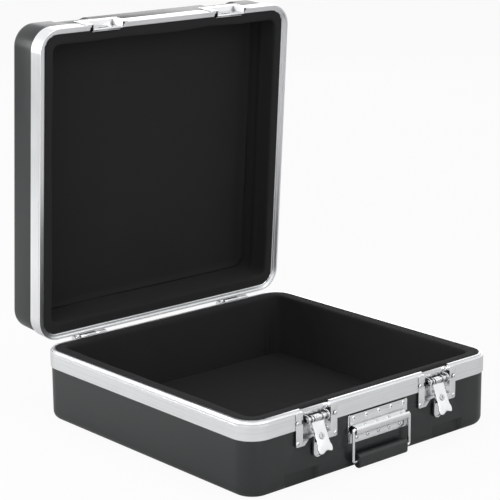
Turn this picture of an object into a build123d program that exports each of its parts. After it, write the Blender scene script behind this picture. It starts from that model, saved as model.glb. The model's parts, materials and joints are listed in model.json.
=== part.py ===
"""Hinged equipment case for a small mixing desk.

Two moulded plastic tubs meet at a pair of aluminium edge rings. The lid turns on two
hinges at the back and stands open on their stops. Two sprung lever latches and a drop
handle sit on the front. Both halves are lined with foam.

Millimetres. X runs along the front, Y points to the back, Z points up. The origin is the
centre of the flat underside. The lid is built closed and then turned open.
"""
import os
from math import cos, pi, radians, sin, tan

from build123d import *

# Whole case
WIDTH = 500.0
DEPTH = 497.0
BASE_HEIGHT = 112.0
LID_HEIGHT = 82.0
CORNER_RADIUS = 36.0
OPEN_ANGLE = 86.0
SEAM_GAP = 0.4

# Moulded tubs
SHELL_INSET = 1.8
SHELL_WALL = 3.5
SHELL_EDGE_RADIUS = 13.0
POCKET_FROM_END = 99.5
POCKET_MOUTH = 66.0
POCKET_FLOOR = 54.0
POCKET_DEPTH = 5.0
POCKET_HEIGHT = 24.0

# Aluminium edge rings
RING_SHEET = 1.6
RING_DROP = 25.5
RING_EDGE_ROUND = 0.7
RING_GROOVE_DROP = 3.6
RING_GROOVE_WIDTH = 0.9
RING_GROOVE_DEPTH = 0.35
RING_DISH_GAP = 3.5
TONGUE_WALL = 3.4
TONGUE_HEIGHT = 3.2
TONGUE_CLEARANCE = 0.4
BASE_LEDGE = 3.4
BASE_FLANGE_DROP = 1.4
RING_INNER_DEPTH = 11.6
BASE_INNER_DROP = 14.0
LID_LIP = 3.0
LID_INNER_DROP = 18.0
FIT_GAP = 0.15

# Foam linings
FOAM_INNER_DEPTH = 26.0
FOAM_FLOOR = 9.0
FOAM_GAP = 0.3
FOAM_LOWER_ROUND = 11.0
TAIL_ROOM = 2.3

# Lever latches
LATCH_FROM_END = 126.0
LATCH_WIDTH = 80.0
LATCH_HEIGHT = 51.0
LATCH_SHEET = 1.2
PLATE_CORNER = 3.0
DISH_WIDTH = 54.0
DISH_HEIGHT = 41.0
DISH_DEPTH = 10.5
DISH_LIP = 0.5
NOTCH_TOP_WIDTH = 27.0
NOTCH_FOOT_WIDTH = 50.0
LATCH_TOP_GAP = 0.3
PIVOT_DEPTH = 0.2
PIVOT_DROP = 15.0
LATCH_PIN_RADIUS = 3.3
LATCH_PIN_BORE = 2.3
LATCH_PIN_HEAD = 1.1
LATCH_EAR_SPAN = 40.0
LATCH_EAR_RADIUS = 7.5
RUNNING_GAP = 0.05
LEVER_SHEET = 1.4
LEVER_WIDTH = 22.4
LEVER_FLARE_WIDTH = 27.0
LEVER_LENGTH = 52.0
LEVER_FLARE_START = 31.0
LEVER_FLARE_CURVE = 10.0
LEVER_FOOT_RISES = (6.0, 3.2, 8.0)
LEVER_FLANGE = 5.6
LEVER_TOP = 5.8
LEVER_BOSS_RADIUS = 5.6
LEVER_TILT = 24.0
KEEPER_HEIGHT = 38.0
KEEPER_DISH_HEIGHT = 27.0
KEEPER_DISH_DEPTH = 8.7
KEEPER_SLOT_RISE = 10.5
KEEPER_SLOT_HEIGHT = 6.0
KEEPER_SLOT_WIDTH = 20.0
HASP_WIDTH = 16.4
HASP_LENGTH = 43.0
HASP_DEPTH = 3.4
HASP_BACK_GAP = 0.1
HASP_WEB_DROP = 3.5
HASP_WINDOW_WIDTH = 12.4
HASP_WINDOW = (6.0, 21.0)
HASP_PIVOT_DROP = 14.5
HASP_PIVOT_BACK = 3.6
HASP_PIN_RADIUS = 1.2
HASP_PIN_HEAD = 0.8
HASP_PIN_RIM = 0.7
HASP_BOSS_RADIUS = 2.6
SPRING_WIRE = 1.5
SPRING_SEAT_GAP = 0.15
SPRING_TURNS = 6
SPRING_PITCH = 1.98
LOCK_REACH = 27.0
LOCK_HEAD_RADIUS = 4.4
LOCK_HEAD_HEIGHT = 1.5
LOCK_HEAD_ROUND = 0.4
LOCK_SEAT_GAP = 0.02
LOCK_BODY_RADIUS = 3.3
LOCK_BODY_LENGTH = 5.4
LOCK_CAM_LENGTH = 9.0
LOCK_CAM_WIDTH = 4.5
LOCK_CAM_SHEET = 1.0
KEYWAY_LENGTH = 5.0
KEYWAY_WIDTH = 1.1
KEYWAY_DEPTH = 3.0

# Rivets
RIVET_HEAD_RADIUS = 3.3
RIVET_HEAD_HEIGHT = 1.2
RIVET_SHANK_RADIUS = 1.6
RIVET_TAIL_RADIUS = 2.6
RIVET_TAIL_HEIGHT = 1.2
LATCH_RIVET_X = 36.5
LATCH_RIVET_DROPS = (16.0, 46.0)
KEEPER_RIVET_RISES = (10.2, 31.0)

# Drop handle
HANDLE_WIDTH = 122.0
HANDLE_COVER_WIDTH = 116.0
HANDLE_BARREL_WIDTH = 108.0
HANDLE_TOP_DROP = 28.0
HANDLE_HEIGHT = 43.0
HANDLE_SHEET = 1.4
HANDLE_UPPER_FLANGE = 16.0
HANDLE_LOWER_FLANGE = 14.5
HANDLE_HAT_RISE = 4.2
HANDLE_HAT_FALL = 6.8
HANDLE_END_POCKET = 7.0
HANDLE_RIVET_PITCHES = (25.4, 22.2)
HANDLE_RIVET_COUNT = 5
HANDLE_RIVET_INSETS = (5.0, 7.5)
BAIL_WIRE = 4.8
BAIL_SPAN = 115.2
BAIL_DROP = 48.7
BAIL_BEND = 3.2
BAIL_STANDOFF = 7.9
BAIL_PIVOT_DROP = 48.8
GRIP_LENGTH = 100.0
GRIP_HEIGHT = 22.0
GRIP_THICKNESS = 12.5
GRIP_ROUND = 5.5
GRIP_END_ROUND = 2.0

# Hinges
HINGE_FROM_END = 99.0
HINGE_WIDTH = 60.0
HINGE_LEAF_HEIGHT = 23.0
HINGE_SHEET = 1.6
HINGE_AXIS_BACK = 5.0
HINGE_AXIS_RISE = 1.0
KNUCKLE_RADIUS = 3.6
HINGE_PIN_RADIUS = 1.5
HINGE_PIN_HEAD = 1.25
HINGE_PIN_RIM = 0.9
LEAF_AXIS_GAP = 2.6
STOP_ARM_WIDTH = 3.0
STOP_ARM_REACH = 9.5
STOP_ARM_DROP = 18.0
STOP_ARM_TIP_DROP = 4.0
STOP_GAP = 0.02
LID_KNUCKLE = (-19.5, 9.9)
BASE_KNUCKLE_START = 10.2
HINGE_RIVET_X = (-18.0, 0.0, 18.0)
HINGE_RIVET_OFFSET = 14.5

# Places worked out from the sizes above
SEAM = BASE_HEIGHT
FRONT = -DEPTH / 2
BACK = DEPTH / 2
SHELL_FRONT = FRONT + SHELL_INSET
SHELL_INNER = SHELL_INSET + SHELL_WALL
BASE_SHELL_TOP = SEAM - RING_SHEET
LID_GROOVE = TONGUE_HEIGHT + TONGUE_CLEARANCE
LID_GROOVE_DEPTH = BASE_LEDGE + TONGUE_WALL + TONGUE_CLEARANCE
LID_SHELL_RIM = LID_GROOVE + RING_SHEET
HINGE_Y = BACK + HINGE_AXIS_BACK
HINGE_Z = SEAM + HINGE_AXIS_RISE
POCKET_CENTRE = WIDTH / 2 - POCKET_FROM_END
LATCH_CENTRE = WIDTH / 2 - LATCH_FROM_END
HINGE_CENTRE = WIDTH / 2 - HINGE_FROM_END
LATCH_Y = FRONT + PIVOT_DEPTH
LATCH_Z = SEAM - PIVOT_DROP
LEVER_FRONT = LATCH_Y - LEVER_SHEET / 2
SPRING_COIL_RADIUS = LATCH_PIN_RADIUS + SPRING_SEAT_GAP + SPRING_WIRE / 2
HANDLE_FACE = SHELL_FRONT - HANDLE_SHEET
HANDLE_Y = HANDLE_FACE - BAIL_STANDOFF
HANDLE_Z = SEAM - BAIL_PIVOT_DROP
SIDES = {"left": -1, "right": 1}


def slab(inset, low, high):
    """A round-cornered block, inset from the outer face of the edge ring."""
    plan = RectangleRounded(WIDTH - 2 * inset, DEPTH - 2 * inset, CORNER_RADIUS - inset)
    return Pos(0, 0, low) * extrude(plan, high - low)


def band(outer, inner, low, high):
    """A round-cornered ring between two insets."""
    return slab(outer, low, high) - slab(inner, low, high)


def block(x_range, y_range, z_range):
    """A plain box from its limits."""
    size = [r[1] - r[0] for r in (x_range, y_range, z_range)]
    middle = [(r[1] + r[0]) / 2 for r in (x_range, y_range, z_range)]
    return Pos(*middle) * Box(*size)


def rod_x(x_range, y, z, radius):
    """A round bar along X."""
    length = x_range[1] - x_range[0]
    middle = (x_range[1] + x_range[0]) / 2
    return Pos(middle, y, z) * Rot(0, 90, 0) * Cylinder(radius, length)


def rod_y(x, y_range, z, radius):
    """A round bar along Y."""
    length = y_range[1] - y_range[0]
    middle = (y_range[1] + y_range[0]) / 2
    return Pos(x, middle, z) * Rot(90, 0, 0) * Cylinder(radius, length)


def side_profile(points, x_range):
    """A flat shape in the Y and Z directions, pushed along X."""
    outline = Polyline(*[(y, z) for y, z in points], close=True)
    face = Plane.YZ * make_face(outline)
    return Pos(x_range[0], 0, 0) * extrude(face, x_range[1] - x_range[0])


def pocket_block(grow):
    """The four shallow pockets at the foot of a tub, with sloping side walls."""
    blocks = []
    slope = (POCKET_MOUTH - POCKET_FLOOR) / 2 / POCKET_DEPTH
    depth = POCKET_DEPTH + grow
    floor_half = POCKET_FLOOR / 2 + grow
    mouth_half = floor_half + slope * (depth + SHELL_INSET)
    for facing in (-1, 1):
        face = facing * (DEPTH / 2)
        floor = facing * (DEPTH / 2 - SHELL_INSET - depth)
        for side in (-1, 1):
            x = side * POCKET_CENTRE
            outline = Polyline((x - mouth_half, face), (x - floor_half, floor),
                               (x + floor_half, floor), (x + mouth_half, face), close=True)
            blocks.append(Pos(0, 0, -1) * extrude(make_face(outline), POCKET_HEIGHT + grow + 1,
                                                  dir=(0, 0, 1)))
    return blocks


def tub(height, rim):
    """A moulded half with its closed face at Z 0 and its rim below the given height."""
    outer = slab(SHELL_INSET, 0, height - rim)
    outer = fillet(outer.faces().sort_by(Axis.Z)[0].edges(), SHELL_EDGE_RADIUS)
    inner = slab(SHELL_INNER, SHELL_WALL, height - rim)
    inner = fillet(inner.faces().sort_by(Axis.Z)[0].edges(), SHELL_EDGE_RADIUS - SHELL_WALL)
    for grown in pocket_block(SHELL_WALL):
        inner -= grown
    for pocket in pocket_block(0):
        outer -= pocket
    return outer - inner


def lining_walls(height, rim_depth, rim_low, leg_low):
    """Foam walls: a rim that fills the mouth of the ring, and thicker walls below its leg."""
    low = SHELL_WALL + FOAM_GAP
    walls = band(SHELL_INNER + TAIL_ROOM, FOAM_INNER_DEPTH, low, height - leg_low)
    outer_foot = slab(SHELL_INNER + TAIL_ROOM, low, height - leg_low)
    rounded = fillet(outer_foot.faces().sort_by(Axis.Z)[0].edges(), FOAM_LOWER_ROUND)
    walls &= rounded
    walls += band(rim_depth, FOAM_INNER_DEPTH, height - leg_low, height - rim_low)
    for grown in pocket_block(SHELL_WALL + FOAM_GAP):
        walls -= grown
    return walls


def lining_floor():
    """The foam sheet that lies on a tub's closed face, inside the foam walls."""
    low = SHELL_WALL + FOAM_GAP
    return slab(FOAM_INNER_DEPTH + FOAM_GAP, low, low + FOAM_FLOOR)


def flip(part, height):
    """Turn a half upside down so that it becomes a lid whose closed face is up."""
    return Pos(0, 0, height) * mirror(part, about=Plane.XY)


def latch_places():
    """Centre of each latch along the front."""
    return {name: side * LATCH_CENTRE for name, side in SIDES.items()}


def hinge_places():
    """Centre of each hinge along the back."""
    return {name: side * HINGE_CENTRE for name, side in SIDES.items()}


def dish_room(low, high, side_gap=FOAM_GAP):
    """The room that both latch dishes, or both keeper dishes, take from a wall."""
    half = DISH_WIDTH / 2 + LATCH_SHEET + side_gap
    room = (FRONT - 1, FRONT + DISH_DEPTH + FOAM_GAP)
    return [block((x - half, x + half), room, (low, high)) for x in latch_places().values()]


def base_dish_room():
    """Room for the latch dishes, open at the seam."""
    return dish_room(SEAM - DISH_HEIGHT - LATCH_SHEET - FOAM_GAP, SEAM + TONGUE_HEIGHT + 1)


def lid_dish_room(side_gap=FOAM_GAP):
    """Room for the keeper dishes on the closed lid, open at the seam."""
    return dish_room(SEAM - 1, SEAM + KEEPER_DISH_HEIGHT + LATCH_SHEET + FOAM_GAP, side_gap)


def rivet(x, z, face, tail, facing):
    """One rivet through a wall, from the plate's face to the tail on the inside."""
    out = face + facing * RIVET_HEAD_HEIGHT
    ball = (RIVET_HEAD_RADIUS ** 2 + RIVET_HEAD_HEIGHT ** 2) / (2 * RIVET_HEAD_HEIGHT)
    head = Pos(x, out - facing * ball, z) * Sphere(ball)
    head &= rod_y(x, sorted((face, out)), z, RIVET_HEAD_RADIUS)
    shank = rod_y(x, sorted((face, tail)), z, RIVET_SHANK_RADIUS)
    end = rod_y(x, sorted((tail, tail - facing * RIVET_TAIL_HEIGHT)), z, RIVET_TAIL_RADIUS)
    return head + shank + end


def drill(part, places, radius=RIVET_SHANK_RADIUS + RUNNING_GAP):
    """Rivet holes through a wall at the front or the back."""
    for x, z, facing in places:
        y = facing * DEPTH / 2
        part -= rod_y(x, (y - 20, y + 20), z, radius)
    return part


def latch_rivet_places():
    """Rivets of both latch plates."""
    return [(x + s * LATCH_RIVET_X, SEAM - drop, -1)
            for x in latch_places().values() for s in (-1, 1) for drop in LATCH_RIVET_DROPS]


def keeper_rivet_places():
    """Rivets of both keepers, on the closed lid."""
    return [(x + s * LATCH_RIVET_X, SEAM + rise, -1)
            for x in latch_places().values() for s in (-1, 1) for rise in KEEPER_RIVET_RISES]


def handle_rivet_places():
    """Two rows of rivets on the handle, the lower one closer together."""
    top = SEAM - HANDLE_TOP_DROP - HANDLE_RIVET_INSETS[0]
    bottom = SEAM - HANDLE_TOP_DROP - HANDLE_HEIGHT + HANDLE_RIVET_INSETS[1]
    middle = (HANDLE_RIVET_COUNT - 1) / 2
    return [((i - middle) * pitch, z, -1)
            for z, pitch in zip((top, bottom), HANDLE_RIVET_PITCHES)
            for i in range(HANDLE_RIVET_COUNT)]


def hinge_rivet_places(side):
    """Rivets of both hinges: side is -1 for the base leaves and 1 for the lid leaves."""
    return [(x + dx, HINGE_Z + side * HINGE_RIVET_OFFSET, 1)
            for x in hinge_places().values() for dx in HINGE_RIVET_X]


def base_shell():
    """The lower tub, cut out for the latch dishes."""
    shell = tub(BASE_HEIGHT, RING_SHEET)
    for room in base_dish_room():
        shell -= room
    return drill(shell, latch_rivet_places() + handle_rivet_places() + hinge_rivet_places(-1))


def ring_groove(z):
    """The fine groove that runs round the outside of an edge ring."""
    return band(-1, RING_GROOVE_DEPTH, z - RING_GROOVE_WIDTH / 2, z + RING_GROOVE_WIDTH / 2)


def base_ring():
    """The lower edge ring: outer leg, ledge, tongue, inner flange and inner leg."""
    tongue_out = BASE_LEDGE + TONGUE_WALL
    flange_top = SEAM - BASE_FLANGE_DROP
    outer = slab(0, SEAM - RING_DROP, SEAM) - slab(RING_SHEET, SEAM - RING_DROP, SEAM - RING_SHEET)
    outer = fillet(outer.faces().sort_by(Axis.Z)[-1].edges(), RING_EDGE_ROUND)
    ring = outer - slab(tongue_out, SEAM - RING_DROP, SEAM + 1)
    ring -= ring_groove(SEAM - RING_GROOVE_DROP)
    ring += band(BASE_LEDGE, tongue_out, SEAM - RING_SHEET, SEAM + TONGUE_HEIGHT)
    ring += band(tongue_out - 1, RING_INNER_DEPTH, flange_top - RING_SHEET, flange_top)
    ring += band(RING_INNER_DEPTH - RING_SHEET, RING_INNER_DEPTH, SEAM - BASE_INNER_DROP, flange_top)
    for room in base_dish_room():
        ring -= room
    return drill(ring, latch_rivet_places() + hinge_rivet_places(-1))


def base_lining_walls():
    """Foam walls of the base, with a lip over the ring, hollowed behind the latch dishes."""
    walls = lining_walls(BASE_HEIGHT, RING_INNER_DEPTH + FOAM_GAP, -TONGUE_HEIGHT,
                         BASE_INNER_DROP + FOAM_GAP)
    walls += band(BASE_LEDGE + TONGUE_WALL + FOAM_GAP, RING_INNER_DEPTH + 1,
                  SEAM - BASE_FLANGE_DROP + FOAM_GAP, SEAM + TONGUE_HEIGHT)
    for room in base_dish_room():
        walls -= room
    return walls


def lid_shell():
    """The upper tub, cut out for the keeper dishes."""
    shell = Pos(0, 0, SEAM) * flip(tub(LID_HEIGHT, LID_SHELL_RIM), LID_HEIGHT)
    for room in lid_dish_room():
        shell -= room
    return drill(shell, keeper_rivet_places() + hinge_rivet_places(1))


def lid_ring():
    """The upper edge ring: outer leg, lip, groove, inner flange and inner leg."""
    low = SEAM + SEAM_GAP
    groove = SEAM + LID_GROOVE
    flange = groove + RING_SHEET
    outer = slab(0, low, SEAM + RING_DROP) - slab(RING_SHEET, groove + RING_SHEET, SEAM + RING_DROP)
    outer = fillet(outer.faces().sort_by(Axis.Z)[0].edges(), RING_EDGE_ROUND)
    ring = outer - slab(LID_LIP, low - 1, SEAM + RING_DROP)
    ring -= ring_groove(low + RING_GROOVE_DROP)
    ring += band(LID_LIP - 1, LID_GROOVE_DEPTH, groove, flange)
    ring += band(LID_GROOVE_DEPTH - RING_SHEET, RING_INNER_DEPTH, flange, flange + RING_SHEET)
    ring += band(RING_INNER_DEPTH - RING_SHEET, RING_INNER_DEPTH, flange, SEAM + LID_INNER_DROP)
    shell_room = band(RING_SHEET, SHELL_INNER + FIT_GAP, flange, SEAM + RING_DROP)
    ring -= shell_room
    for room in lid_dish_room(RING_DISH_GAP):
        ring -= room
    return drill(ring, keeper_rivet_places() + hinge_rivet_places(1))


def lid_lining_walls():
    """Foam walls of the lid, with a lip over the ring's flange."""
    walls = lining_walls(LID_HEIGHT, RING_INNER_DEPTH + FOAM_GAP, LID_GROOVE,
                         LID_INNER_DROP + FOAM_GAP)
    lip = band(LID_GROOVE_DEPTH + FOAM_GAP, RING_INNER_DEPTH + 1,
               LID_HEIGHT - LID_SHELL_RIM + FOAM_GAP, LID_HEIGHT - LID_GROOVE)
    lining = Pos(0, 0, SEAM) * flip(walls + lip, LID_HEIGHT)
    for room in lid_dish_room():
        lining -= room
    return lining


def lid_lining_panel():
    """Foam sheet under the top of the lid."""
    return Pos(0, 0, SEAM) * flip(lining_floor(), LID_HEIGHT)


def dish_plate(x, z_range, dish_range, depth):
    """A stamped plate with a deep dish that is open towards the seam."""
    half = LATCH_WIDTH / 2
    face = FRONT - LATCH_SHEET
    sheet = block((x - half, x + half), (face, FRONT), z_range)
    sheet = fillet(sheet.edges().filter_by(Axis.Y), PLATE_CORNER)
    inner = DISH_WIDTH / 2
    floor = FRONT + depth - LATCH_SHEET
    outer_range = (max(dish_range[0] - LATCH_SHEET, z_range[0]),
                   min(dish_range[1] + LATCH_SHEET, z_range[1]))
    cup = block((x - inner - LATCH_SHEET, x + inner + LATCH_SHEET),
                (FRONT - DISH_LIP, floor + LATCH_SHEET), outer_range)
    return sheet + cup - block((x - inner, x + inner), (face - 1, floor), dish_range)


def plate_notch(x, low):
    """The gap in the plate's lower edge through which the hasp hangs."""
    top = SEAM - DISH_HEIGHT
    foot_half, top_half = NOTCH_FOOT_WIDTH / 2, NOTCH_TOP_WIDTH / 2
    outline = Polyline((x - foot_half, low - 1), (x - top_half, top), (x + top_half, top),
                       (x + foot_half, low - 1), close=True)
    plane = Plane(origin=(0, FRONT - DISH_LIP, 0), x_dir=(1, 0, 0), z_dir=(0, -1, 0))
    slot = extrude(plane * make_face(outline), LATCH_SHEET)
    # The dish's lower wall stays whole, so behind the plate the gap starts a sheet lower
    return slot + Pos(0, LATCH_SHEET, -LATCH_SHEET) * slot


def latch_plate(x):
    """Plate, dish and the two ears that carry the pivot pin."""
    high = SEAM - LATCH_TOP_GAP
    low = SEAM - LATCH_HEIGHT
    plate = dish_plate(x, (low, high), (SEAM - DISH_HEIGHT, high + 1), DISH_DEPTH)
    plate -= plate_notch(x, low)
    floor = FRONT + DISH_DEPTH - LATCH_SHEET
    for side in (-1, 1):
        inside = x + side * (LATCH_EAR_SPAN / 2 - LEVER_SHEET)
        span = sorted((inside, inside + side * LEVER_SHEET))
        ear = rod_x(span, LATCH_Y, LATCH_Z, LATCH_EAR_RADIUS)
        ear += block(span, (LATCH_Y, floor + 0.2),
                     (LATCH_Z - LATCH_EAR_RADIUS, LATCH_Z + LATCH_EAR_RADIUS))
        plate += ear
    plate -= rod_x((x - LATCH_EAR_SPAN, x + LATCH_EAR_SPAN), LATCH_Y, LATCH_Z,
                   LATCH_PIN_RADIUS + RUNNING_GAP)
    return drill(plate, latch_rivet_places())


def latch_pin(x):
    """Hollow pivot pin with a rolled head at each end, outside the ears."""
    half = LATCH_EAR_SPAN / 2 + FIT_GAP + LATCH_PIN_HEAD
    pin = rod_x((x - half, x + half), LATCH_Y, LATCH_Z, LATCH_PIN_RADIUS)
    for side in (-1, 1):
        ends = sorted((x + side * (half - LATCH_PIN_HEAD), x + side * half))
        pin += rod_x(ends, LATCH_Y, LATCH_Z, LATCH_PIN_RADIUS + LATCH_PIN_HEAD)
    return pin - rod_x((x - half - 1, x + half + 1), LATCH_Y, LATCH_Z, LATCH_PIN_BORE)


def latch_spring(x):
    """Torsion spring coiled round the pivot pin."""
    radius = SPRING_COIL_RADIUS
    length = SPRING_TURNS * SPRING_PITCH
    start = x - length / 2
    quarter = pi / 2
    steps = SPRING_TURNS * 4
    # Each quarter turn is one arc through three points of the helix
    def helix(step):
        angle = step * quarter
        return (start + SPRING_PITCH * step / 4, LATCH_Y + radius * cos(angle),
                LATCH_Z + radius * sin(angle))
    arcs = [ThreePointArc(helix(i), helix(i + 0.5), helix(i + 1)) for i in range(steps)]
    path = Wire(arcs)
    section = Plane(origin=path @ 0, z_dir=path % 0) * Circle(SPRING_WIRE / 2)
    gap = SPRING_PITCH - SPRING_WIRE
    print("spring: turns", SPRING_TURNS, "least gap between turns", round(gap, 2))
    return sweep(section, path=path)


def swing(part, x, angle):
    """Turn a latch piece about the pivot: a positive angle swings its foot outwards."""
    return part.rotate(Axis((x, LATCH_Y, LATCH_Z), (1, 0, 0)), -angle)


def lever_outline():
    """Front view of the lever's web, flaring to a wavy lower edge."""
    half = LEVER_WIDTH / 2
    wide = LEVER_FLARE_WIDTH / 2
    foot = -LEVER_LENGTH
    flare = -LEVER_FLARE_START
    left_low, wave, right_low = (foot + rise for rise in LEVER_FOOT_RISES)
    bend = flare - LEVER_FLARE_CURVE
    left = [Line((-half, -LEVER_TOP), (-half, flare)),
            Spline((-half, flare), (-wide + 1, bend), (-wide, left_low), tangents=((0, -1), (0, -1)))]
    bottom = [Spline((-wide, left_low), (-wide / 2, foot), (wide / 3, wave), (wide, right_low),
                     tangents=((0, -1), (0, 1)))]
    right = [Spline((wide, right_low), (wide - 1, bend), (half, flare), tangents=((0, 1), (0, 1))),
             Line((half, flare), (half, -LEVER_TOP)), Line((half, -LEVER_TOP), (-half, -LEVER_TOP))]
    return make_face(Wire(left + bottom + right))


def lever_side(x_range):
    """Side flange of the lever with its pivot boss, in the lever's own upright frame."""
    back = LEVER_FRONT + LEVER_FLANGE
    foot = LATCH_Z - LEVER_FLARE_START
    hasp_z = LATCH_Z - HASP_PIVOT_DROP
    points = [(LEVER_FRONT, LATCH_Z), (back, LATCH_Z), (back, hasp_z - HASP_BOSS_RADIUS),
              (LEVER_FRONT + LEVER_SHEET, foot), (LEVER_FRONT, foot)]
    side = side_profile(points, x_range) + rod_x(x_range, LATCH_Y, LATCH_Z, LEVER_BOSS_RADIUS)
    return side + rod_x(x_range, LATCH_Y + HASP_PIVOT_BACK, hasp_z, HASP_BOSS_RADIUS)


def latch_lever(x):
    """Channel lever that stands away from the case and carries the hasp between its sides."""
    half = LEVER_WIDTH / 2
    web = Plane(origin=(x, LEVER_FRONT, LATCH_Z), x_dir=(1, 0, 0), z_dir=(0, -1, 0)) * lever_outline()
    lever = Pos(0, LEVER_SHEET, 0) * extrude(web, LEVER_SHEET)
    for side in (-1, 1):
        lever += lever_side(sorted((x + side * half, x + side * (half - LEVER_SHEET))))
    lever -= rod_y(x, (LEVER_FRONT - 1, LEVER_FRONT + LEVER_FLANGE), LATCH_Z - LOCK_REACH,
                   LOCK_BODY_RADIUS + RUNNING_GAP)
    bore = (x - half - 1, x + half + 1)
    lever -= rod_x(bore, LATCH_Y, LATCH_Z, LATCH_PIN_RADIUS + RUNNING_GAP)
    lever -= rod_x(bore, LATCH_Y + HASP_PIVOT_BACK, LATCH_Z - HASP_PIVOT_DROP,
                   HASP_PIN_RADIUS + RUNNING_GAP)
    return swing(lever, x, LEVER_TILT)


def latch_hasp_pin(x):
    """Cross pin of the lever, with a flat head outside each side, on which the hasp hangs."""
    half = LEVER_WIDTH / 2 + FIT_GAP
    place = (LATCH_Y + HASP_PIVOT_BACK, LATCH_Z - HASP_PIVOT_DROP)
    pin = rod_x((x - half - HASP_PIN_HEAD, x + half + HASP_PIN_HEAD), *place, HASP_PIN_RADIUS)
    for side in (-1, 1):
        ends = sorted((x + side * half, x + side * (half + HASP_PIN_HEAD)))
        pin += rod_x(ends, *place, HASP_PIN_RADIUS + HASP_PIN_RIM)
    return swing(pin, x, LEVER_TILT)


def hasp_pivot():
    """Where the hasp's pivot stands at rest, behind the tilted lever."""
    tilt = radians(LEVER_TILT)
    y = LATCH_Y + HASP_PIVOT_BACK * cos(tilt) - HASP_PIVOT_DROP * sin(tilt)
    z = LATCH_Z - HASP_PIVOT_BACK * sin(tilt) - HASP_PIVOT_DROP * cos(tilt)
    return y, z


def latch_hasp(x):
    """Round-ended channel that hangs behind the lever; its end hooks into the keeper's slot."""
    pivot_y, pivot_z = hasp_pivot()
    half = HASP_WIDTH / 2
    back = FRONT - DISH_LIP - HASP_BACK_GAP
    front = back - HASP_DEPTH
    centre = pivot_z - HASP_LENGTH + half
    top = pivot_z - HASP_WEB_DROP
    cup = rod_y(x, (front, back), centre, half) + block((x - half, x + half), (front, back),
                                                        (centre, pivot_z))
    room_y = (front - 1, back - LATCH_SHEET)
    room = rod_y(x, room_y, centre, half - LATCH_SHEET)
    arms = (x - half + LATCH_SHEET, x + half - LATCH_SHEET)
    room += block(arms, room_y, (centre, pivot_z + 1))
    room += block(arms, (front - 1, back + 1), (top, pivot_z + 1))
    hasp = cup - room
    for side in (-1, 1):
        span = sorted((x + side * half, x + side * (half - LATCH_SHEET)))
        hasp += rod_x(span, pivot_y, pivot_z, HASP_BOSS_RADIUS)
    hasp -= block((x - HASP_WINDOW_WIDTH / 2, x + HASP_WINDOW_WIDTH / 2), (front, back + 1),
                  (pivot_z - HASP_WINDOW[1], pivot_z - HASP_WINDOW[0]))
    return hasp - rod_x((x - half - 1, x + half + 1), pivot_y, pivot_z,
                        HASP_PIN_RADIUS + RUNNING_GAP)


def latch_lock(x):
    """Key cylinder in the lever, with its cam behind the web."""
    front = LEVER_FRONT
    z = LATCH_Z - LOCK_REACH
    lock = rod_y(x, (front - LOCK_HEAD_HEIGHT, front - LOCK_SEAT_GAP), z, LOCK_HEAD_RADIUS)
    lock = fillet(lock.edges().group_by(Axis.Y)[0], LOCK_HEAD_ROUND)
    lock += rod_y(x, (front - LOCK_HEAD_HEIGHT / 2, front + LOCK_BODY_LENGTH), z, LOCK_BODY_RADIUS)
    cam_y = (front + LOCK_BODY_LENGTH - LOCK_CAM_SHEET, front + LOCK_BODY_LENGTH)
    lock += block((x - LOCK_CAM_WIDTH / 2, x + LOCK_CAM_WIDTH / 2), cam_y,
                  (z - LOCK_CAM_LENGTH + LOCK_BODY_RADIUS, z + LOCK_BODY_RADIUS))
    mouth = front - LOCK_HEAD_HEIGHT
    lock -= block((x - KEYWAY_WIDTH / 2, x + KEYWAY_WIDTH / 2), (mouth - 1, mouth + KEYWAY_DEPTH),
                  (z - KEYWAY_LENGTH / 2, z + KEYWAY_LENGTH / 2))
    return swing(lock, x, LEVER_TILT)


def keeper(x):
    """Keeper on the lid: a dished plate whose floor has the slot for the hasp's end."""
    low = SEAM + LATCH_TOP_GAP + SEAM_GAP
    plate = dish_plate(x, (low, SEAM + KEEPER_HEIGHT), (low - 1, SEAM + KEEPER_DISH_HEIGHT),
                       KEEPER_DISH_DEPTH)
    slot_low = SEAM + KEEPER_SLOT_RISE
    plate -= block((x - KEEPER_SLOT_WIDTH / 2, x + KEEPER_SLOT_WIDTH / 2),
                   (FRONT + 1, FRONT + DISH_DEPTH), (slot_low, slot_low + KEEPER_SLOT_HEIGHT))
    return drill(plate, keeper_rivet_places())


def rivet_group(places, face, tail):
    """Separate solids, one rivet for each place."""
    group = [rivet(x, z, facing * face, facing * tail, facing) for x, z, facing in places]
    return Compound(children=group)


def latch_rivets():
    """Rivets of the latch plates, through the ring and the tub."""
    return rivet_group(latch_rivet_places(), DEPTH / 2 + LATCH_SHEET, DEPTH / 2 - SHELL_INNER)


def keeper_rivets():
    """Rivets of the keepers."""
    return rivet_group(keeper_rivet_places(), DEPTH / 2 + LATCH_SHEET, DEPTH / 2 - SHELL_INNER)


def handle_rivets():
    """Rivets through both handle plates and the tub."""
    face = -(HANDLE_FACE - HANDLE_SHEET)
    return rivet_group(handle_rivet_places(), face, DEPTH / 2 - SHELL_INNER)


def hinge_rivets(side):
    """Rivets of the base leaves or of the lid leaves."""
    return rivet_group(hinge_rivet_places(side), DEPTH / 2 + HINGE_SHEET, DEPTH / 2 - SHELL_INNER)


def handle_back_plate():
    """Flat plate behind the handle."""
    top = SEAM - HANDLE_TOP_DROP
    half = HANDLE_WIDTH / 2
    plate = block((-half, half), (HANDLE_FACE, SHELL_FRONT), (top - HANDLE_HEIGHT, top))
    plate = fillet(plate.edges().filter_by(Axis.Y), PLATE_CORNER)
    return drill(plate, handle_rivet_places())


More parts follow.
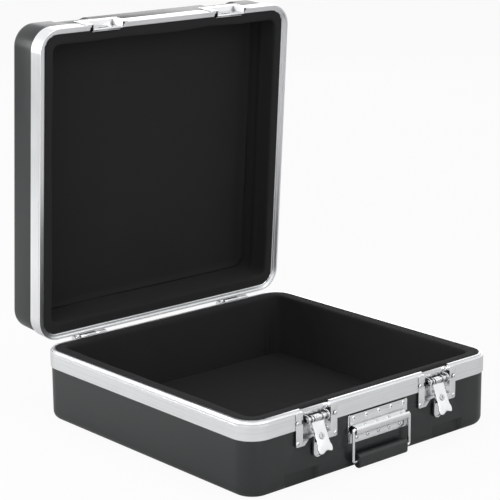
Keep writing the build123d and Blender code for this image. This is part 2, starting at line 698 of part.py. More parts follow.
def handle_cover():
    """Formed cover: two riveted flanges and the barrel that holds the bail."""
    back = HANDLE_FACE
    face = back - HANDLE_SHEET
    top = SEAM - HANDLE_TOP_DROP
    foot = top - HANDLE_HEIGHT
    bore = BAIL_WIRE / 2 + RUNNING_GAP
    outer = bore + HANDLE_SHEET
    half = HANDLE_COVER_WIDTH / 2
    upper = top - HANDLE_UPPER_FLANGE
    lower = foot + HANDLE_LOWER_FLANGE
    cover = block((-half, half), (face, back), (upper, top))
    cover += block((-half, half), (face, back), (foot, lower))
    cover = fillet(cover.edges().filter_by(Axis.Y).group_by(Axis.Z)[-1], PLATE_CORNER)
    half = HANDLE_BARREL_WIDTH / 2
    span = (-half, half)
    front = HANDLE_Y - outer
    hat_top = HANDLE_Z + HANDLE_HAT_RISE
    hat_foot = HANDLE_Z - HANDLE_HAT_FALL
    hat = side_profile([(back, upper + 0.5), (face, upper + 0.5), (front, hat_top),
                        (front, hat_foot), (face, lower - 0.5), (back, lower - 0.5)], span)
    room = [(back, upper - 0.5), (front + HANDLE_SHEET, hat_top - HANDLE_SHEET),
            (front + HANDLE_SHEET, hat_foot + HANDLE_SHEET), (back, lower + 0.5)]
    for side in (-1, 1):
        ends = sorted((side * (half + 1), side * (half - HANDLE_END_POCKET)))
        hat -= side_profile(room, ends)
    cover += hat - rod_x((-half - 1, half + 1), HANDLE_Y, HANDLE_Z, bore)
    return drill(cover, handle_rivet_places())


def handle_bail():
    """Wire bail: two cranked ends in the cover, two legs and a cross bar in the grip."""
    half = BAIL_SPAN / 2
    low = HANDLE_Z - BAIL_DROP
    points = [(-half / 3, HANDLE_Y, HANDLE_Z), (-half, HANDLE_Y, HANDLE_Z), (-half, HANDLE_Y, low),
              (half, HANDLE_Y, low), (half, HANDLE_Y, HANDLE_Z), (half / 3, HANDLE_Y, HANDLE_Z)]
    path = FilletPolyline(*points, radius=BAIL_BEND)
    section = Plane(origin=path @ 0, z_dir=path % 0) * Circle(BAIL_WIRE / 2)
    return sweep(section, path=path)


def handle_grip():
    """Moulded grip round the bail's cross bar."""
    half = GRIP_LENGTH / 2
    centre = HANDLE_Z - BAIL_DROP
    grip = block((-half, half), (HANDLE_Y - GRIP_THICKNESS / 2, HANDLE_Y + GRIP_THICKNESS / 2),
                 (centre - GRIP_HEIGHT / 2, centre + GRIP_HEIGHT / 2))
    grip = fillet(grip.edges().filter_by(Axis.X), GRIP_ROUND)
    grip = fillet(grip.faces().filter_by(Axis.X).edges(), GRIP_END_ROUND)
    return grip - rod_x((-half - 1, half + 1), HANDLE_Y, centre, BAIL_WIRE / 2 + RUNNING_GAP)


def knuckle(x_range):
    """One barrel of a hinge."""
    return rod_x(x_range, HINGE_Y, HINGE_Z, KNUCKLE_RADIUS)


def hinge_bore(x):
    """Room for the hinge pin."""
    return rod_x((x - HINGE_WIDTH, x + HINGE_WIDTH), HINGE_Y, HINGE_Z, HINGE_PIN_RADIUS + RUNNING_GAP)


def stop_plane(y):
    """Height above the axis of the open lid leaf's face, at a distance behind the axis."""
    reach = HINGE_AXIS_BACK - HINGE_SHEET
    lean = radians(90 - OPEN_ANGLE)
    return reach / cos(lean) + y * tan(lean)


def hinge_base_leaf(x):
    """Leaf on the base with one barrel and the arm that stops the open lid."""
    half = HINGE_WIDTH / 2
    top = HINGE_Z - LEAF_AXIS_GAP
    leaf = block((x - half, x + half), (BACK, BACK + HINGE_SHEET), (top - HINGE_LEAF_HEIGHT, top))
    leaf = fillet(leaf.edges().filter_by(Axis.Y).group_by(Axis.Z)[0], PLATE_CORNER)
    barrel = (x + BASE_KNUCKLE_START, x + half)
    web_z = (HINGE_Z - KNUCKLE_RADIUS, HINGE_Z - KNUCKLE_RADIUS + HINGE_SHEET)
    leaf += knuckle(barrel) + block(barrel, (BACK, HINGE_Y), web_z)
    arm = (x - half, x - half + STOP_ARM_WIDTH)
    near = KNUCKLE_RADIUS + 1
    far = STOP_ARM_REACH
    foot = HINGE_Z - STOP_ARM_DROP
    points = [(BACK, foot), (BACK + HINGE_SHEET, foot), (HINGE_Y + far, HINGE_Z - STOP_ARM_TIP_DROP),
              (HINGE_Y + far, HINGE_Z + stop_plane(far) - STOP_GAP),
              (HINGE_Y + near, HINGE_Z + stop_plane(near) - STOP_GAP), (HINGE_Y, HINGE_Z),
              (BACK, HINGE_Z - LEAF_AXIS_GAP)]
    leaf += side_profile(points, arm) + knuckle(arm)
    return drill(leaf - hinge_bore(x), hinge_rivet_places(-1))


def hinge_lid_leaf(x):
    """Leaf on the lid with the middle barrel."""
    half = HINGE_WIDTH / 2
    low = HINGE_Z + LEAF_AXIS_GAP
    leaf = block((x - half, x + half), (BACK, BACK + HINGE_SHEET), (low, low + HINGE_LEAF_HEIGHT))
    leaf = fillet(leaf.edges().filter_by(Axis.Y).group_by(Axis.Z)[-1], PLATE_CORNER)
    barrel = (x + LID_KNUCKLE[0], x + LID_KNUCKLE[1])
    web_z = (HINGE_Z + KNUCKLE_RADIUS - HINGE_SHEET, HINGE_Z + KNUCKLE_RADIUS)
    leaf += knuckle(barrel) + block(barrel, (BACK, HINGE_Y), web_z)
    return drill(leaf - hinge_bore(x), hinge_rivet_places(1))


def hinge_pin(x):
    """Hinge pin with a flat head at each end."""
    half = HINGE_WIDTH / 2 + FIT_GAP
    pin = rod_x((x - half, x + half), HINGE_Y, HINGE_Z, HINGE_PIN_RADIUS)
    for side in (-1, 1):
        ends = sorted((x + side * half, x + side * (half + HINGE_PIN_HEAD)))
        pin += rod_x(ends, HINGE_Y, HINGE_Z, HINGE_PIN_RADIUS + HINGE_PIN_RIM)
    return pin


def open_lid(part):
    """Turn a closed lid piece about the hinge pins to where it stands open."""
    return part.rotate(Axis((0, HINGE_Y, HINGE_Z), (1, 0, 0)), -OPEN_ANGLE)


def all_parts():
    """Every node by name, in the rest pose."""
    parts = {
        "base_shell": base_shell(),
        "base_ring": base_ring(),
        "base_lining_walls": base_lining_walls(),
        "base_lining_floor": lining_floor(),
        "latch_plate_rivets": latch_rivets(),
        "handle_back_plate": handle_back_plate(),
        "handle_cover": handle_cover(),
        "handle_rivets": handle_rivets(),
        "handle_bail": handle_bail(),
        "handle_grip": handle_grip(),
        "hinge_base_rivets": hinge_rivets(-1),
        "lid_shell": open_lid(lid_shell()),
        "lid_ring": open_lid(lid_ring()),
        "lid_lining_walls": open_lid(lid_lining_walls()),
        "lid_lining_panel": open_lid(lid_lining_panel()),
        "keeper_rivets": open_lid(keeper_rivets()),
        "hinge_lid_rivets": open_lid(hinge_rivets(1)),
    }
    for name, x in latch_places().items():
        parts[f"latch_{name}_plate"] = latch_plate(x)
        parts[f"latch_{name}_pin"] = latch_pin(x)
        parts[f"latch_{name}_spring"] = latch_spring(x)
        parts[f"latch_{name}_lever"] = latch_lever(x)
        parts[f"latch_{name}_hasp_pin"] = latch_hasp_pin(x)
        parts[f"latch_{name}_hasp"] = latch_hasp(x)
        parts[f"latch_{name}_lock"] = latch_lock(x)
        parts[f"keeper_{name}"] = open_lid(keeper(x))
    for name, x in hinge_places().items():
        parts[f"hinge_{name}_base_leaf"] = hinge_base_leaf(x)
        parts[f"hinge_{name}_lid_leaf"] = open_lid(hinge_lid_leaf(x))
        parts[f"hinge_{name}_pin"] = hinge_pin(x)
    return parts


os.makedirs("parts", exist_ok=True)
for node, shape in all_parts().items():
    export_step(shape, f"parts/{node}.step")
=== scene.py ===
"""Open mixer case in a plain pale studio, seen from its front left corner.

Metres. X runs along the front, Y points to the back, Z points up. The hard pieces come from
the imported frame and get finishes, eased edges and dimpled rivets here. The foam linings are
shaped here from the frame's plain foam solids. Pieces of the lid are worked on with the lid
shut, where they lie square, and then turned back.
"""
import json
from math import cos, exp, pi, radians, sin, sqrt

import bpy
from mathutils import Matrix, Vector, noise


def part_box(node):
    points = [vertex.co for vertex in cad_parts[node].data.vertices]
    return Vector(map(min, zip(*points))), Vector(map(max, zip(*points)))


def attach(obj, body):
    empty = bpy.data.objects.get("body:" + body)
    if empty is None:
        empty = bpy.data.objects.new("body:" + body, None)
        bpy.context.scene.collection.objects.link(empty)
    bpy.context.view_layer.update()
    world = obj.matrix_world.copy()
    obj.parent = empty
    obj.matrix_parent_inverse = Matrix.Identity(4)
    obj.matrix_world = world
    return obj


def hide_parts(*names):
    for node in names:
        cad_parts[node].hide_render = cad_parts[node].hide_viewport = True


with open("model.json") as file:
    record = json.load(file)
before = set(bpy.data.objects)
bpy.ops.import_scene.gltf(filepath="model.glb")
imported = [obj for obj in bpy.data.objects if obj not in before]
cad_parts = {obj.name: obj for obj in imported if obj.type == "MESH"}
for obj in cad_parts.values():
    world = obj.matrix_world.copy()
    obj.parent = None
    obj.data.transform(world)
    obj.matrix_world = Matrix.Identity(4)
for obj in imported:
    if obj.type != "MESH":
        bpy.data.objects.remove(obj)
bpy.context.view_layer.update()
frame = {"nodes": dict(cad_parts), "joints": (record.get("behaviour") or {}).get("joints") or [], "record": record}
nodes = frame["nodes"]
bodies = frame["record"]["behaviour"]["bodies"]
slots = {entry["node"]: entry["material_slot"] for entry in frame["record"]["subparts"]}

# The lid's hinge, and the turn that shuts the lid
lid_hinge = next(joint for joint in frame["joints"] if joint["name"] == "lid_hinge")
hinge_place = Vector(lid_hinge["pos_m"])
shut_angle = radians(max(lid_hinge["range_deg"]))
shut = (Matrix.Translation(hinge_place) @ Matrix.Rotation(shut_angle, 4, "X")
        @ Matrix.Translation(-hinge_place))

# The camera that took the photograph
LOOK_AT = Vector((0.4030, 0.4973, 0.1120))
CAMERA_AZIMUTH = -41.03
CAMERA_ELEVATION = 14.245
CAMERA_ROLL = -0.491
CAMERA_DISTANCE = 3.4547
CAMERA_LENS = 131.0
SENSOR_WIDTH = 36.0
CLIP_START, CLIP_END = 0.1, 200.0

# Joining of doubled points
MESH_MERGE = 0.00001
RIVET_MERGE = 0.000005

# Stamped hardware and moulded shells
BEVEL_ANGLE = radians(35)
BEVEL_SEGMENTS = 2
SMOOTH_ANGLE = radians(50)
SHEET_BEVEL = 0.0003
SHELL_BEVEL = 0.0009
SHELLS = ("base_shell", "lid_shell")
STAMPINGS = ["handle_cover", "handle_back_plate"] + [
    piece.format(side) for side in ("left", "right")
    for piece in ("latch_{}_plate", "latch_{}_lever", "latch_{}_hasp", "keeper_{}",
                  "hinge_{}_base_leaf", "hinge_{}_lid_leaf")]

# Blind rivets: radius and height of each turn of the profile, from the dimple to the tail
RIVET_GROUPS = ("latch_plate_rivets", "handle_rivets", "hinge_base_rivets", "keeper_rivets",
                "hinge_lid_rivets")
RIVET_HEAD_HEIGHT = 0.0012
RIVET_PROFILE = ((0.00002, 0.0002), (0.0009, 0.0003), (0.0012, 0.0011), (0.0017, 0.0012),
                 (0.0026, 0.0009), (0.0033, 0.0002), (0.0033, 0.0), (0.0016, 0.0),
                 (0.0016, -0.0062), (0.0024, -0.0063), (0.0025, -0.0074), (0.00002, -0.0075))
RIVET_STEPS = 20
RIVET_REACH = 0.008

# Foam linings: where they lie, the size of their faces and how soft their edges are
SEAM_DROP = 0.001
WALL_DEPTH = 0.026
WALL_GRID = 0.004
SHEET_GRID = 0.005
SMOOTHING_ROUNDS = 8
FACE_REACH = 0.006
RIM_REACH = 0.007
FLOOR_CURL = 0.006
PANEL_CURL = 0.012
CURL_LIMIT = 0.75

# Slow waves in the foam: their length, their height and a number that shifts them
BASE_WALL_WAVES = ((0.07, 0.0016, 0.0), (0.022, 0.0005, 7.0))
LID_WALL_WAVES = ((0.08, 0.0020, 2.0), (0.025, 0.0006, 9.0))
RIM_SAG = (0.07, 0.0008, 3.0)
RIM_WAVE = (0.05, 0.0008, 5.0)
SHEET_WAVES = ((0.11, 0.0022), (0.03, 0.0005))
FLOOR_SHIFT = 4.0
PANEL_SHIFT = 6.0

# Upright folds in the base's walls: distance from the wall's end, reach, pitch and depth.
# The first of each wall's pair is by the back right corner and fades in below the rim.
BACK_CORNER_FOLDS = (0.046, 0.016, 0.0105, 0.0014)
BACK_WALL_FOLDS = (0.12, 0.03, 0.019, 0.0006)
RIGHT_CORNER_FOLDS = (0.040, 0.011, 0.0085, 0.0012)
RIGHT_WALL_FOLDS = (0.10, 0.018, 0.009, 0.0006)
FOLD_FADE = 0.02

# A ridge and a groove along the lid's right wall: their height above the seam, and how far
# they stand out
LID_CREASES = ((0.036, 0.0016), (0.046, -0.0014))
CREASE_REACH = 0.004

# Studio
WHITE = (1.0, 1.0, 1.0, 1.0)
FLOOR_SIZE = 60.0
FLOOR_GLOW = 0.93
WORLD_STRENGTH = 0.34

# Softboxes: name, place, the point each one faces, its width and height, and its watts
SOFTBOXES = (
    ("key_left", (-1.8, 1.1, 0.9), (-0.2, 0.3, 0.2), (1.0, 1.0), 19),
    ("fill_left", (-2.6, -1.2, 2.2), (0.1, 0.2, 0.3), (1.6, 1.6), 11),
    ("front", (0.8, -3.4, 2.2), (0, 0, 0.2), (1.6, 1.6), 22),
    ("overhead", (0.2, 0.0, 3.4), (0, 0, 0), (2.0, 2.0), 23),
    ("rim", (2.3, 2.9, 1.3), (0, 0.2, 0.4), (1.8, 1.4), 9),
)

# Two upright strips that the near corner mirrors
STRIP_AZIMUTHS = (-72.0, -12.0)
STRIP_DISTANCE = 2.6
STRIP_HEIGHT = 0.75
STRIP_AIM = (-0.2, -0.2, 0.06)
STRIP_SIZE = (0.12, 1.1)
STRIP_POWER = 3.5


class Signal:
    """A shader socket on which Python's operators add Math nodes."""

    def __init__(self, owner, socket):
        self.owner = owner
        self.socket = socket

    def __add__(self, other):
        return self.owner.math("ADD", self, other)

    def __mul__(self, other):
        return self.owner.math("MULTIPLY", self, other)

    __radd__ = __add__
    __rmul__ = __mul__


class NodeTree:
    """A node tree, and the one way in which nodes are added to it."""

    def __init__(self, tree):
        self.tree = tree

    def link(self, value, socket):
        """Puts a number, a colour or a signal into a socket."""
        if isinstance(value, Signal):
            self.tree.links.new(value.socket, socket)
        else:
            socket.default_value = value

    def node(self, kind, output, settings=None, numbered=None, **named):
        """Adds a node: its settings first, then its sockets by number or by name, with _ for a
        space. Returns one output."""
        added = self.tree.nodes.new(kind)
        for setting, value in (settings or {}).items():
            setattr(added, setting, value)
        for number, value in (numbered or {}).items():
            self.link(value, added.inputs[number])
        for name, value in named.items():
            self.link(value, added.inputs[name.replace("_", " ")])
        return Signal(self, added.outputs[output])

    def math(self, operation, first, second):
        """A Math node on two signals or numbers."""
        return self.node("ShaderNodeMath", 0, {"operation": operation}, {0: first, 1: second})

    def rays(self, kind):
        """1 for rays of one kind, 0 for the rest."""
        return self.node("ShaderNodeLightPath", f"Is {kind} Ray")


class Finish(NodeTree):
    """One material: its principled shader and the nodes that vary it over the surface."""

    def __init__(self, name, **constants):
        self.material = bpy.data.materials.new(name)
        self.material.use_nodes = True
        super().__init__(self.material.node_tree)
        self.shader = self.tree.nodes["Principled BSDF"]
        self.set(**constants)
        self.place = self.node("ShaderNodeTexCoord", "Object")

    def stretched(self, x, y, z):
        """Object coordinates scaled along each axis."""
        return self.node("ShaderNodeMapping", "Vector", Vector=self.place, Scale=(x, y, z))

    def noise(self, scale, detail, vector=None):
        """Soft noise from 0 to 1."""
        return self.node("ShaderNodeTexNoise", "Fac", Vector=vector or self.place, Scale=scale,
                         Detail=detail)

    def cells(self, scale):
        """Distance to the nearest of many scattered points."""
        return self.node("ShaderNodeTexVoronoi", "Distance", Vector=self.place, Scale=scale)

    def ramp(self, value, span, result=(0.0, 1.0)):
        """A value's span turned into another, clamped."""
        return self.node("ShaderNodeMapRange", "Result", {"clamp": True}, Value=value,
                         From_Min=span[0], From_Max=span[1], To_Min=result[0], To_Max=result[1])

    def open_air(self, reach):
        """1 on open faces, falling towards 0 in corners and recesses within a reach; used to paint shade into a
        colour.
        """
        return self.node("ShaderNodeAmbientOcclusion", "AO", {"samples": 8}, Distance=reach)

    def blend(self, factor, first, second):
        """A colour between two colours. The Mix node knows its colour sockets by number."""
        return self.node("ShaderNodeMix", 2, {"data_type": "RGBA"},
                         {0: factor, 6: first, 7: second})

    def bump(self, height, strength, distance):
        """Sets the surface's relief."""
        self.set(Normal=self.node("ShaderNodeBump", "Normal", Height=height, Strength=strength,
                                  Distance=distance))

    def set(self, **sockets):
        """Puts constant or varying values into the principled shader."""
        for socket, value in sockets.items():
            self.link(value, self.shader.inputs[socket.replace("_", " ")])


def cool(value):
    """A dark grey with a little less red in it."""
    return (value * 0.88, value, value * 1.03, 1.0)


def grey(value, tint=0.0):
    """A neutral colour, a little bluer where tint is positive."""
    return (value * (1 - tint), value, value * (1 + tint), 1.0)


def shell_plastic():
    """Charcoal moulded plastic with a fine grained surface and faint rub marks."""
    f = Finish("shell_plastic", Specular_IOR_Level=0.5)
    dark, light = cool(0.017), cool(0.023)
    grain = f.cells(scale=900.0)
    pits = f.noise(scale=2600.0, detail=2.0)
    clouds = f.noise(scale=9.0, detail=4.0)
    scuffs = f.noise(scale=60.0, detail=6.0, vector=f.stretched(1.0, 1.0, 5.0))
    rubs = f.ramp(scuffs, span=(0.62, 0.8))
    f.set(Base_Color=f.blend(clouds, dark, light),
          Roughness=f.ramp(clouds, span=(0.3, 0.7), result=(0.30, 0.36)) + rubs * 0.06)
    f.bump(grain * 0.7 + pits * 0.3, strength=0.35, distance=0.0002)
    return f.material


def edge_aluminium(name, turn):
    """Bright anodised extrusion with faint drawing lines round it and slow shade changes.

    The lines run level once the coordinates are turned about X.
    """
    f = Finish(name, Metallic=1.0)
    dark, light = grey(0.80, tint=0.012), grey(0.91, tint=0.012)
    f.place = f.node("ShaderNodeMapping", "Vector", Vector=f.place, Rotation=(turn, 0.0, 0.0))
    lines = f.noise(scale=420.0, detail=4.0, vector=f.stretched(0.012, 0.012, 1.0))
    marks = f.noise(scale=14.0, detail=3.0)
    fine = f.noise(scale=1800.0, detail=2.0)
    shade = f.ramp(lines, span=(0.35, 0.65))
    f.set(Base_Color=f.blend(shade * 0.7 + marks * 0.3, dark, light),
          Roughness=f.ramp(marks, span=(0.3, 0.7), result=(0.28, 0.34)))
    f.bump(lines * 0.8 + fine * 0.2, strength=0.1, distance=0.0001)
    return f.material


def plated_steel():
    """Bright nickel plate on stamped steel with soft waviness, and painted shade that darkens its colour to near
    black in recesses and corners.
    """
    f = Finish("plated_steel", Metallic=1.0)
    painted_recess_shade, dark, light = grey(0.07, tint=0.04), grey(0.80, tint=0.015), grey(0.94, tint=0.01)
    waves = f.noise(scale=45.0, detail=2.0)
    pits = f.noise(scale=1500.0, detail=2.0)
    smears = f.noise(scale=60.0, detail=4.0)
    # Painted shade: the colour falls to near black in recesses, corners and under neighbouring parts.
    painted_shade_mask = f.ramp(f.open_air(reach=0.009), span=(0.2, 0.8))
    f.set(Base_Color=f.blend(painted_shade_mask, painted_recess_shade, f.blend(smears, dark, light)),
          Roughness=f.ramp(smears, span=(0.35, 0.7), result=(0.14, 0.24)))
    f.bump(waves * 0.8 + pits * 0.05, strength=0.10, distance=0.0005)
    return f.material


def lock_zinc():
    """Plated die casting, a shade darker than the steel."""
    f = Finish("lock_zinc", Metallic=1.0)
    dark, light = grey(0.52, tint=0.02), grey(0.68, tint=0.02)
    smears = f.noise(scale=220.0, detail=4.0)
    f.set(Base_Color=f.blend(smears, dark, light),
          Roughness=f.ramp(smears, span=(0.3, 0.7), result=(0.2, 0.34)))
    f.bump(f.noise(scale=900.0, detail=2.0), strength=0.1, distance=0.0002)
    return f.material


def grip_plastic():
    """Satin black moulding, slightly worn in random patches."""
    f = Finish("grip_plastic")
    dark, light = cool(0.022), cool(0.030)
    wear = f.noise(scale=45.0, detail=4.0)
    f.set(Base_Color=f.blend(wear, dark, light),
          Roughness=f.ramp(wear, span=(0.3, 0.7), result=(0.3, 0.42)))
    f.bump(f.noise(scale=1400.0, detail=2.0), strength=0.2, distance=0.0002)
    return f.material


def black_foam(name, shade):
    """Black foam sheet with a fine open skin and slow shade changes."""
    f = Finish(name, Specular_IOR_Level=0.25)
    dark, light = grey(0.016 * shade, tint=0.03), grey(0.026 * shade, tint=0.03)
    pores = f.cells(scale=1500.0)
    fuzz = f.noise(scale=700.0, detail=4.0)
    clouds = f.noise(scale=5.0, detail=4.0)
    f.set(Base_Color=f.blend(clouds * 0.6 + fuzz * 0.4, dark, light),
          Roughness=f.ramp(fuzz, span=(0.2, 0.8), result=(0.88, 0.98)))
    f.bump(pores * 0.5 + fuzz * 0.5, strength=0.6, distance=0.0006)
    return f.material


FINISHES = {
    "shell_plastic": shell_plastic(),
    "edge_aluminium": edge_aluminium("edge_aluminium", turn=0.0),
    "lid_edge_aluminium": edge_aluminium("lid_edge_aluminium", turn=shut_angle),
    "plated_steel": plated_steel(),
    "lock_zinc": lock_zinc(),
    "grip_plastic": grip_plastic(),
    "foam": black_foam("foam", shade=1.08),
    # A darker copy of the same foam for the base's floor sheet, at 0.7 of the shade: painted shade.
    "painted_shade_foam_floor": black_foam("painted_shade_foam_floor", shade=0.7),
}


def dress(piece, finish):
    """Gives a piece one finish."""
    piece.data.materials.clear()
    piece.data.materials.append(FINISHES[finish])


def dress_nodes():
    """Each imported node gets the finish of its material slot, and the lid's ring its own."""
    for node, slot in slots.items():
        dress(nodes[node], slot)
    dress(nodes["lid_ring"], "lid_edge_aluminium")


def body_of(node):
    """The body that holds a node."""
    return next(body for body, held in bodies.items() if node in held)


def stand_in(piece, node):
    """A piece takes a node's place: the node is hidden and the piece rides on the same body."""
    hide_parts(node)
    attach(piece, body_of(node))


def working_pose(node):
    """The turn under which a node lies square: the lid's nodes lie square when it is shut."""
    return shut if body_of(node) == "lid" else Matrix()


def merged_copy(node, name):
    """A CAD node's mesh as a new object, its triangles joined up."""
    bpy.ops.object.select_all(action="DESELECT")
    copy = bpy.data.objects.new(name, nodes[node].data.copy())
    bpy.context.scene.collection.objects.link(copy)
    bpy.context.view_layer.objects.active = copy
    copy.select_set(True)
    bpy.ops.object.mode_set(mode="EDIT")
    bpy.ops.mesh.select_all(action="SELECT")
    bpy.ops.mesh.remove_doubles(threshold=MESH_MERGE)
    bpy.ops.object.mode_set(mode="OBJECT")
    return copy


def eased_edges(node, width):
    """A hard piece's copy with small bevels on its edges, so that they catch the light."""
    piece = merged_copy(node, node + "_eased")
    bpy.ops.object.modifier_add(type="BEVEL")
    bevel = piece.modifiers[-1]
    bevel.width = width
    bevel.segments = BEVEL_SEGMENTS
    bevel.limit_method = "ANGLE"
    bevel.angle_limit = BEVEL_ANGLE
    bevel.use_clamp_overlap = True
    bpy.ops.object.modifier_apply(modifier=bevel.name)
    bpy.ops.object.shade_smooth_by_angle(angle=SMOOTH_ANGLE)
    dress(piece, slots[node])
    stand_in(piece, node)


def blind_rivet():
    """One rivet about the Z axis, its head's underside at Z 0: a profile spun round."""
    bpy.ops.object.select_all(action="DESELECT")
    bpy.ops.mesh.primitive_plane_add(size=RIVET_PROFILE[0][0], location=(0, 0, 0))
    piece = bpy.context.object
    bpy.ops.object.mode_set(mode="EDIT")
    bpy.ops.mesh.merge(type="CENTER")
    last = Vector((0, 0, 0))
    for radius, height in RIVET_PROFILE:
        point = Vector((radius, 0, height))
        if last.length == 0:
            bpy.ops.transform.translate(value=point)
        else:
            bpy.ops.mesh.extrude_region_move(TRANSFORM_OT_translate={"value": point - last})
        last = point
    bpy.ops.mesh.select_all(action="SELECT")
    bpy.ops.mesh.spin(steps=RIVET_STEPS, angle=2 * pi, center=(0, 0, 0), axis=(0, 0, 1))
    bpy.ops.mesh.select_all(action="SELECT")
    bpy.ops.mesh.remove_doubles(threshold=RIVET_MERGE)
    bpy.ops.mesh.normals_make_consistent(inside=False)
    bpy.ops.object.mode_set(mode="OBJECT")
    bpy.ops.object.shade_smooth_by_angle(angle=SMOOTH_ANGLE)
    return piece


def rivet_spots(node, pose):
    """Where a group's rivets stand in a pose: the middle under each head, and 1 or -1 for the
    side of Y it faces. Points closer together than the reach belong to one rivet."""
    groups = []
    for vertex in nodes[node].data.vertices:
        place = pose @ vertex.co
        for group in groups:
            if Vector((place.x - group[0].x, place.z - group[0].z)).length < RIVET_REACH:
                group.append(place)
                break
        else:
            groups.append([place])
    spots = []
    for group in groups:
        xs, ys, zs = ([place[axis] for place in group] for axis in range(3))
        outward = 1 if sum(ys) > 0 else -1
        face = outward * max(outward * y for y in ys) - outward * RIVET_HEAD_HEIGHT
        spots.append((Vector(((min(xs) + max(xs)) / 2, face, (min(zs) + max(zs)) / 2)), outward))
    return spots


def rivets(node, model):
    """Copies of one blind rivet with a dimpled head in place of a group of plain ones."""
    pose = working_pose(node)
    copies = []
    for place, outward in rivet_spots(node, pose):
        piece = bpy.data.objects.new(node, model.data.copy())
        piece.data.transform(pose.inverted() @ Matrix.Translation(place)
                             @ Matrix.Rotation(-outward * pi / 2, 4, "X"))
        bpy.context.scene.collection.objects.link(piece)
        copies.append(piece)
    bpy.ops.object.select_all(action="DESELECT")
    for piece in copies:
        piece.select_set(True)
    piece = copies[0]
    bpy.context.view_layer.objects.active = piece
    bpy.ops.object.join()
    piece.name = node + "_dimpled"
    dress(piece, slots[node])
    stand_in(piece, node)


# What the foam is shaped by: half the case's width and depth, the base foam's top and the seam
half_width = (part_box("base_ring")[1][0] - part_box("base_ring")[0][0]) / 2
half_depth = (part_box("base_ring")[1][1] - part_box("base_ring")[0][1]) / 2
base_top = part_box("base_lining_walls")[1][2]
seam = hinge_place.z - SEAM_DROP


def even_skin(piece, grid):
    """Rebuilds a solid from small even faces and softens its edges."""
    piece.data.remesh_voxel_size = grid
    bpy.ops.object.voxel_remesh()
    bpy.ops.object.modifier_add(type="SMOOTH")
    piece.modifiers[-1].iterations = SMOOTHING_ROUNDS
    bpy.ops.object.modifier_apply(modifier=piece.modifiers[-1].name)
    bpy.ops.object.shade_smooth()


def window(distance, reach):
    """1 at the middle of a stretch and fading to 0 past its reach."""
    return exp(-((distance / reach) ** 2))


def drift(place, length, height, shift):
    """A slow random rise and fall over the foam."""
    return noise.noise(Vector(place) / length + Vector((shift, shift, shift))) * height


def cavity_side(place):
    """Which inner wall a point lies on: its inward direction and how far it stands from it."""
    x_gap = half_width - WALL_DEPTH - abs(place.x)
    y_gap = half_depth - WALL_DEPTH - abs(place.y)
    if x_gap < y_gap:
        return Vector((-1 if place.x > 0 else 1, 0, 0)), x_gap
    return Vector((0, -1 if place.y > 0 else 1, 0)), y_gap


def folds(along, end, inset, reach, pitch, depth):
    """Upright folds pressed into a wall round one place, inset from one of its ends."""
    centre = end - inset if end > 0 else end + inset
    return depth * window(along - centre, reach) * cos((along - centre) * 2 * pi / pitch)


def base_wall_shape(place):
    """Soft unevenness and folds of the foam walls in the base."""
    inward, gap = cavity_side(place)
    fade = max(0.0, min(1.0, (base_top - place.z) / FOLD_FADE))
    move = sum(drift(place, *wave) for wave in BASE_WALL_WAVES)
    if inward.y < 0:
        move += fade * folds(place.x, half_width, *BACK_CORNER_FOLDS)
        move += folds(place.x, -half_width, *BACK_WALL_FOLDS)
    if inward.x < 0:
        move += fade * folds(place.y, half_depth, *RIGHT_CORNER_FOLDS)
        move += folds(place.y, -half_depth, *RIGHT_WALL_FOLDS)
    rim = window(place.z - base_top, RIM_REACH)
    move += rim * drift(place, *RIM_WAVE)
    sag = abs(drift(place, *RIM_SAG)) * rim
    return place + inward * window(gap, FACE_REACH) * move - Vector((0, 0, sag))


def lid_wall_shape(place):
    """Soft unevenness of the foam walls in the lid, in the shut position."""
    inward, gap = cavity_side(place)
    move = sum(drift(place, *wave) for wave in LID_WALL_WAVES)
    if inward.x < 0:
        move += sum(height * window(place.z - seam - level, CREASE_REACH)
                    for level, height in LID_CREASES)
    return place + inward * window(gap, FACE_REACH) * move


def sheet_shape(place, facing, middle, curl, shift):
    """A foam sheet whose rim curls up the walls and whose open face is slightly uneven."""
    if (place.z - middle) * facing < 0:
        return place
    edge = min(half_width - WALL_DEPTH - abs(place.x), half_depth - WALL_DEPTH - abs(place.y))
    short = curl - max(edge, 0.0)
    lift = curl - sqrt(max(curl ** 2 - short ** 2, 0.0)) if short > 0 else 0.0
    lift = min(lift, CURL_LIMIT * curl)
    for length, height in SHEET_WAVES:
        lift += drift(place, length, height, shift)
    return place + Vector((0, 0, facing * lift))


def foam_piece(node, name, grid, shape, finish="foam"):
    """One soft foam piece that stands for a plain foam solid."""
    pose = working_pose(node)
    piece = merged_copy(node, name)
    piece.data.transform(pose)
    even_skin(piece, grid)
    for vertex in piece.data.vertices:
        vertex.co = shape(vertex.co)
    piece.data.transform(pose.inverted())
    piece.data.update()
    dress(piece, finish)
    stand_in(piece, node)


def middle_height(node):
    """Height of a node's middle in its working pose."""
    heights = [(working_pose(node) @ vertex.co).z for vertex in nodes[node].data.vertices]
    return (min(heights) + max(heights)) / 2


def foam_linings():
    """Walls and sheet of foam in the base and in the lid."""
    floor_middle = middle_height("base_lining_floor")
    panel_middle = middle_height("lid_lining_panel")
    foam_piece("base_lining_walls", "base_foam_walls", WALL_GRID, base_wall_shape)
    # The base's floor sheet takes the darker copy of the foam, which holds painted shade.
    foam_piece("base_lining_floor", "base_foam_floor", SHEET_GRID,
               lambda place: sheet_shape(place, 1, floor_middle, FLOOR_CURL, FLOOR_SHIFT),
               finish="painted_shade_foam_floor")
    foam_piece("lid_lining_walls", "lid_foam_walls", WALL_GRID, lid_wall_shape)
    foam_piece("lid_lining_panel", "lid_foam_panel", SHEET_GRID,
               lambda place: sheet_shape(place, -1, panel_middle, PANEL_CURL, PANEL_SHIFT))


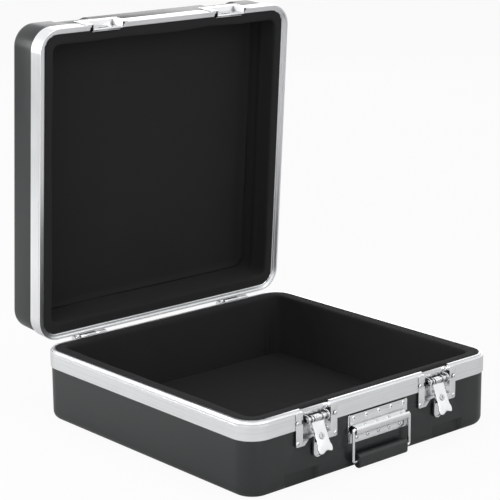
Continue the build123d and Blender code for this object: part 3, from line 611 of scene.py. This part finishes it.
def studio_world():
    """Even white light from all round, and white wherever the sky is seen or mirrored."""
    world = bpy.data.worlds.new("studio")
    world.use_nodes = True
    sky = NodeTree(world.node_tree)
    background = sky.tree.nodes["Background"]
    seen = sky.rays("Camera")
    for kind in ("Glossy", "Transmission"):
        seen = sky.math("MAXIMUM", seen, sky.rays(kind))
    strength = sky.node("ShaderNodeMapRange", "Result", Value=seen, To_Min=WORLD_STRENGTH,
                        To_Max=1.0)
    sky.link(WHITE, background.inputs["Color"])
    sky.link(strength, background.inputs["Strength"])
    bpy.context.scene.world = world


def floor():
    """A wide pale floor that glows for the camera and keeps a little of the case's shadow."""
    bpy.ops.mesh.primitive_plane_add(size=FLOOR_SIZE, location=(0, 0, 0))
    sheet = bpy.context.object
    sheet.name = "studio_floor"
    f = Finish("floor_white", Base_Color=grey(0.85), Roughness=0.9, Specular_IOR_Level=0.1)
    share = f.rays("Camera") * FLOOR_GLOW
    lit = Signal(f, f.shader.outputs[0])
    glow = f.node("ShaderNodeEmission", "Emission", Color=WHITE)
    mix = f.node("ShaderNodeMixShader", "Shader", None, {0: share, 1: lit, 2: glow})
    f.link(mix, f.tree.nodes["Material Output"].inputs["Surface"])
    sheet.data.materials.append(f.material)


def softbox(name, place, aim, size, power):
    """A rectangular area lamp that faces a point."""
    lamp = bpy.data.lights.new(name, "AREA")
    lamp.shape = "RECTANGLE"
    lamp.size, lamp.size_y = size
    lamp.energy = power
    holder = bpy.data.objects.new(name, lamp)
    holder.location = place
    holder.rotation_euler = (Vector(aim) - Vector(place)).to_track_quat("-Z", "Y").to_euler()
    bpy.context.scene.collection.objects.link(holder)


def lamps():
    """Softboxes left, front, overhead and behind, and the two strips."""
    for settings in SOFTBOXES:
        softbox(*settings)
    for azimuth in STRIP_AZIMUTHS:
        a = radians(azimuth)
        place = (sin(a) * STRIP_DISTANCE, -cos(a) * STRIP_DISTANCE, STRIP_HEIGHT)
        softbox("strip", place, STRIP_AIM, STRIP_SIZE, STRIP_POWER)


def camera():
    """The photograph's camera, solved from the straight edges of the case."""
    a, e = radians(CAMERA_AZIMUTH), radians(CAMERA_ELEVATION)
    back = Vector((sin(a) * cos(e), -cos(a) * cos(e), sin(e)))
    lens = bpy.data.cameras.new("photograph")
    lens.lens = CAMERA_LENS
    lens.sensor_width = SENSOR_WIDTH
    lens.clip_start, lens.clip_end = CLIP_START, CLIP_END
    holder = bpy.data.objects.new("photograph", lens)
    turn = (-back).to_track_quat("-Z", "Y").to_matrix().to_4x4()
    roll = Matrix.Rotation(radians(CAMERA_ROLL), 4, "Z")
    holder.matrix_world = Matrix.Translation(LOOK_AT + back * CAMERA_DISTANCE) @ turn @ roll
    bpy.context.scene.collection.objects.link(holder)
    bpy.context.scene.camera = holder


dress_nodes()
for node in STAMPINGS:
    eased_edges(node, SHEET_BEVEL)
for node in SHELLS:
    eased_edges(node, SHELL_BEVEL)
rivet = blind_rivet()
for node in RIVET_GROUPS:
    rivets(node, rivet)
bpy.data.objects.remove(rivet)
foam_linings()
floor()
studio_world()
lamps()
camera()
bpy.context.scene.view_settings.view_transform = "Standard"
